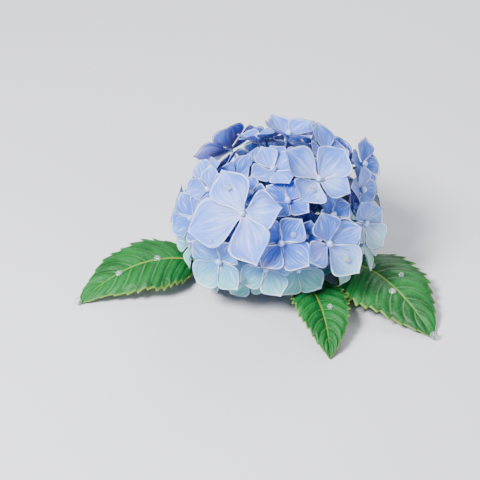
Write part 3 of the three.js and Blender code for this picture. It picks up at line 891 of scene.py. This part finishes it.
def grow_inner_florets():
    """Fills the gaps of the head, as one piece of florets for each main ray and one of thin rays."""
    trials = make_trials()
    centres = []
    clusters = {}
    rays = bmesh.new()
    for way in inner_directions():
        for reach, turn in ((r, t) for r in INNER_REACHES for t in range(INNER_TURNS)):
            centre = HEAD_CENTRE + way * reach
            if any((centre - c).length < INNER_SPACING for c in centres):
                continue
            trees = floret_trees + [tree for _, tree in clusters.values()]
            if any(tree.find_nearest(centre, INNER_ROOM)[0] for tree in trees):
                continue
            out = (centre - HUB).normalized()
            place = facing(centre, out)
            foot = centre - out * INNER_STALK
            branch = min(range(len(FORKS)), key=lambda k: (FORKS[k] - foot).length)
            fork = FORKS[branch]
            length = largest_that_fits(trials, turn, place, foot, fork, trees)
            if not length:
                continue
            centres.append(centre)
            bm = clusters[branch][0] if branch in clusters else bmesh.new()
            name = f"inner_{len(centres)}"
            sepals = inner_sepals(length, turn)
            model_floret(bm, name, place, sepals, INNER_STALK, 0.0, INNER_STEPS)
            path = [fork, fork.lerp(foot, 0.5), foot, foot + out * 0.6]
            tube(rays, path, [RAY_RADIUS * k for k in (0.8, 0.8, 0.8, 0.6)], 8, 0)
            clusters[branch] = (bm, BVHTree.FromBMesh(bm))
            break
        if len(centres) == INNER_LIMIT:
            break
    for bm in trials.values():
        bm.free()
    for branch, (bm, _) in sorted(clusters.items()):
        settle_piece(f"inner_florets_{branch + 1}", bm, FLORET_LOOKS)
    settle_piece("inner_rays", rays, [stalk_look])


grow_inner_florets()

# ---- Leaves ----
LEAF_TEETH = 13
LEAF_STEPS = (156, 28)  # along and across
TOOTH = [(0, 0), (0.3, 0.25), (0.62, 0.75), (0.78, 1), (0.86, 0.7), (1, 0)]
TOOTH_SWEEP = 0.022  # towards the tip, as a share of the leaf's length
TOOTH_DEPTH = 0.13  # as a share of its half width
QUILTING = 1.3
MIDRIB_DIP = 0.5
MARGIN_WAVE = 0.9
LEAF_THICKNESS = 0.7
LEAF_SPACING = [(0, 0), (0.1, 0.035), (0.3, 0.22), (0.6, 0.58), (0.85, 0.88), (0.94, 0.965), (1, 1)]


class Leaf:
    """One leaf's upper surface: call it with shares of its length and half width."""

    def __init__(self, angle, width, fold, base, bend, tip, chance):
        self.angle = math.radians(angle)
        self.width = width
        self.fold = fold
        self.points = [stem_foot + Vector(p) for p in (base, bend, tip)]
        self.offsets = [chance.uniform(-0.5, 0.5) for _ in range(2 * LEAF_TEETH + 4)]

    def midrib(self, u):
        a, b, c = self.points
        point = a * (1 - u) ** 2 + b * 2 * u * (1 - u) + c * u * u
        ahead = ((b - a) * (1 - u) + (c - b) * u).normalized()
        left = UP.cross(ahead).normalized()
        return point, ahead, left, ahead.cross(left)

    def __call__(self, u, v):
        margin = abs(v)
        edge = smoothstep(0.8, 1, margin)
        order = u * LEAF_TEETH + self.offsets[0 if v > 0 else 1]
        own = self.offsets[int(order) % LEAF_TEETH + (2 if v > 0 else LEAF_TEETH)]
        tooth = curve(TOOTH, order % 1) * (1 + 0.5 * own)
        tooth *= smoothstep(0.03, 0.2, u) * smoothstep(1.0, 0.9, u)
        u = min(u + TOOTH_SWEEP * tooth * edge, 1)
        point, _, left, up = self.midrib(u)
        # The outline is widest two fifths of the way along, with the teeth standing out from it.
        half = (self.width / 2) * math.sin(math.pi * min(u, 0.9999) ** 0.74) ** 0.85
        half *= 1 + (TOOTH_DEPTH * tooth - 0.05) * edge
        side = half * v
        rise = (self.fold - LEAF_DROOP * margin) * abs(side)
        # The blade swells between its veins, dips along the midrib and waves at the margin.
        gap = abs((u - VEIN_SLOPE * margin - VEIN_BOW * margin**2) * LEAF_VEINS % 1 - 0.5)
        body = smoothstep(0, 0.1, u) * smoothstep(1, 0.85, u)
        quilt = 1 - smoothstep(0.1, 0.5, gap)
        quilt *= smoothstep(0.04, 0.3, margin) * smoothstep(1.02, 0.75, margin)
        rise += body * (QUILTING * quilt - MIDRIB_DIP * bell(margin, 0.035))
        rise += body * MARGIN_WAVE * edge * math.sin(u * 21 + (2 if v > 0 else 0))
        point = point + left * side + up * rise
        point.z = max(point.z, SURFACE_LIFT + LEAF_THICKNESS)
        return point


def model_leaf(name, spec):
    """A toothed blade, with its stalk running on under the midrib."""
    leaf = Leaf(**spec, chance=random.Random(name))
    bm = bmesh.new()
    grow_blade(bm, *LEAF_STEPS, LEAF_SPACING, leaf, LEAF_THICKNESS)
    out = Vector((math.cos(leaf.angle), math.sin(leaf.angle), 0))
    start = stem_foot + UP * LEAF_NODE_HEIGHT + out * (LEAF_NODE_RADIUS - 0.6)
    base, ahead, _, up = leaf.midrib(0)
    # The stalk leaves the leaf node level, bends to the base of the blade, and thins out along it.
    a, b, c, d = start, start + out * 12, base - ahead * 15, base - up * 0.9
    path = []
    radii = []
    for k in range(9):
        t = k / 8
        s = 1 - t
        path.append(a * s**3 + b * 3 * s * s * t + c * 3 * s * t * t + d * t**3)
        radii.append(PETIOLE_RADIUS * (1.1 if k == 0 else 1 - 0.2 * t))
    for k in range(1, 12):
        u = k / 12
        point, _, _, up = leaf.midrib(u)
        path.append(point - up * (LEAF_THICKNESS + 0.35 * (1 - u)))
        radii.append(PETIOLE_RADIUS * 0.75 * (1 - u) + 0.22)
    path = [p + UP * max(0, r + 0.1 - p.z) for p, r in zip(path, radii)]  # clear of the surface
    tube(bm, path, radii, 12, 0)
    settle_piece(f"{name}_leaf", bm, [leaf_look], [f"leaf_{name}"])
    return leaf


leaves = {name: model_leaf(name, spec) for name, spec in LEAVES.items()}


# ---- Dew ----
FLAT_BELOW = -0.35  # the part of a drop below this share of its radius is pressed flat
HANGING = 0.7  # how far a tip's drop stands out from the tip, in radii


def new_drop(radius):
    bm = bmesh.new()
    verts = bmesh.ops.create_uvsphere(bm, u_segments=24, v_segments=16, radius=radius)["verts"]
    return bm, verts


def model_drop(name, point, up, radius, nodes=()):
    """A bead of water that sits on a surface, flattened where it touches."""
    bm, bead = new_drop(radius)
    for vert in bead:
        height = vert.co.z / radius
        if height < FLAT_BELOW:
            vert.co.z = radius * (FLAT_BELOW + (height - FLAT_BELOW) * 0.12)
        vert.co.z = (vert.co.z + radius * 0.43) * 0.8
    axes = up.to_track_quat("Z", "Y").to_matrix().to_4x4()
    bmesh.ops.transform(bm, matrix=Matrix.Translation(point) @ axes, verts=bead)
    settle_piece(name, bm, [dew_look], nodes)


def surface_at(surface, u, v):
    """The point of a surface and the way straight out of it."""
    step = 0.02
    ahead = surface(u + step, v) - surface(u - step, v)
    left = surface(u, v + step) - surface(u, v - step)
    return surface(u, v), ahead.cross(left).normalized()


# Share of the leaf's length, share of its half width, and radius.
LEAF_DEW = {
    "left": [(0.36, 0.0, 2.6), (0.68, 0.1, 2.2)],
    "front": [(0.48, 0.3, 1.9)],
    "right": [(0.28, 0.1, 2.2), (0.5, 0.36, 1.9), (0.6, -0.2, 2.4)],
}
for leaf_name, drops in LEAF_DEW.items():
    for k, (u, v, radius) in enumerate(drops, 1):
        point, up = surface_at(leaves[leaf_name], u, v)
        node = f"dew_{leaf_name}_{k}"
        model_drop(f"drop_{leaf_name}_{k}", point, up, radius, [node])

# Floret, sepal, shares of its length and half width, and radius. Sepals count from 0 at the lower
# right and go anticlockwise, as seen from in front.
FLORET_DEW = [
    (1, 2, 0.6, 0.1, 2.3), (1, 3, 0.62, 0.72, 1.6), (2, 3, 0.45, 0.0, 2.6),
    (3, 0, 0.55, 0.1, 2.3), (5, 1, 0.45, -0.25, 2.0),
]
for k, (number, sepal, u, v, radius) in enumerate(FLORET_DEW, 1):
    floret = florets[number - 1]
    point, up = surface_at(floret.surfaces[sepal], u, v)
    turn = floret.place.to_3x3()
    model_drop(f"drop_bloom_{k}", floret.place @ point, turn @ up, radius)

TIP_DEW = {"left": 2.4, "right": 2.6}  # radius of the drop at a leaf's tip
for leaf_name, radius in TIP_DEW.items():
    leaf = leaves[leaf_name]
    middle = leaf(0.985, 0.0) + leaf.midrib(1)[1] * radius * HANGING
    middle.z = radius + 0.1
    bm, bead = new_drop(radius)
    for vert in bead:
        vert.co.z *= 1.08 if vert.co.z > 0 else 0.97
    bmesh.ops.translate(bm, vec=middle, verts=bead)
    settle_piece(f"drop_{leaf_name}_tip", bm, [dew_look])
